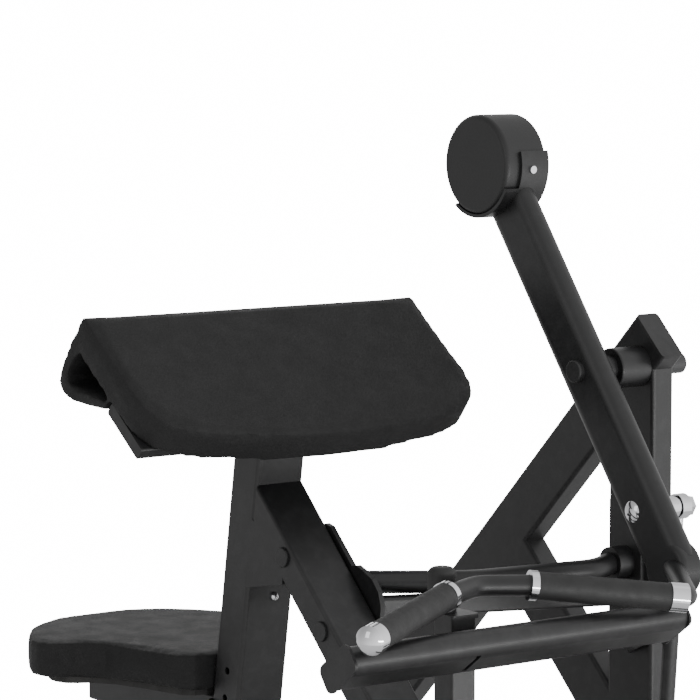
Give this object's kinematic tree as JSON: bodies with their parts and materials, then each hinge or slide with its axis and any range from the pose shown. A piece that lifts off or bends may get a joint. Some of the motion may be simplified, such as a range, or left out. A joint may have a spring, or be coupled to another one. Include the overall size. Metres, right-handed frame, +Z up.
{
  "type": "seated biceps curl machine",
  "caption": "Seated arm-curl machine: sloped arm pad on a leaning post, pivoting lever with counterweight and bent two-grip handle, linked weight crank, sliding seat.",
  "frame": {"origin": "centre of the footprint's bounding box, on the floor", "axes": "+Z up, -Y forward (the way the user faces), +X towards the user's left, where the lever is"},
  "size_m": [1.05, 1.4, 1.2718],
  "materials": {
    "frame_paint": "satin",
    "weight_paint": "satin",
    "pad_leather": "grained",
    "rubber": "matte",
    "chrome": "polished",
    "plastic_cap": "matte",
    "board": "matte",
    "steel": "satin"
  },
  "bodies": {
    "frame": {"arm_pad": "pad_leather", "base_end_caps": "plastic_cap", "base_feet": "rubber", "base_front_crossbar": "frame_paint", "base_main_rail": "frame_paint", "base_rear_crossbar": "frame_paint", "base_side_rail": "frame_paint", "column_brace": "frame_paint", "column_plate": "frame_paint", "crank_bearing": "frame_paint", "cross_brace": "frame_paint", "cross_tube": "frame_paint", "diagonal_cap": "plastic_cap", "diagonal_tube": "frame_paint", "frame_bolts": "chrome", "front_strut": "frame_paint", "pad_board": "board", "pad_bracket": "frame_paint", "pivot_axle": "steel", "pivot_housing": "frame_paint", "pivot_spacer": "frame_paint", "plate_disc": "frame_paint", "post_gusset": "frame_paint", "rear_tube": "frame_paint", "seat_post": "frame_paint", "side_column": "frame_paint", "stop_bumper": "rubber", "stop_plates": "frame_paint", "stop_post": "frame_paint", "strut_plate": "frame_paint", "strut_plugs": "plastic_cap", "tube_caps": "plastic_cap"},
    "curl_lever": {"lever_tube": "frame_paint", "lever_hub_cap": "plastic_cap", "counterweight": "weight_paint", "cradle_strap": "frame_paint", "cradle_screw": "chrome", "link_pin": "chrome", "pin_collar": "chrome", "pin_nut": "chrome", "handle_bar": "frame_paint", "handle_grips": "rubber", "grip_collars": "chrome", "grip_outer_collar": "chrome", "grip_dome_cap": "chrome"},
    "link": {"rod_end_upper": "chrome", "rod_end_lower": "chrome", "link_rod": "frame_paint"},
    "weight_crank": {"crank_shaft": "steel", "crank_arm": "frame_paint", "crank_pin": "chrome", "weight_arm": "frame_paint", "horn_flange": "frame_paint", "weight_horn": "chrome"},
    "seat": {"seat_pad": "pad_leather", "seat_board": "board", "seat_carriage": "frame_paint", "seat_arm": "frame_paint", "seat_pin_barrel": "steel", "seat_pin_knob": "plastic_cap"}
  },
  "joints": [
    {"name": "curl", "type": "hinge", "parent": "frame", "child": "curl_lever", "pos_m": [0.16, -0.21, 0.916], "axis": [-1, 0, 0], "range_deg": [0, 100]},
    {"name": "link_swing", "type": "hinge", "parent": "curl_lever", "child": "link", "pos_m": [0.23, -0.327, 0.73], "axis": [-1, 0, 0], "range_deg": [-100, 0]},
    {"name": "crank_turn", "type": "hinge", "parent": "frame", "child": "weight_crank", "pos_m": [0.23, -0.166, 0.356], "axis": [-1, 0, 0], "range_deg": [0, 100]},
    {"name": "seat_height", "type": "slide", "parent": "frame", "child": "seat", "axis": [0, -0.1512, 0.9885], "range_m": [0, 0.15]}
  ],
  "couplings": [
    {"joint": "link_swing", "follows": "curl", "ratio": -1},
    {"joint": "crank_turn", "follows": "curl", "ratio": 1}
  ]
}
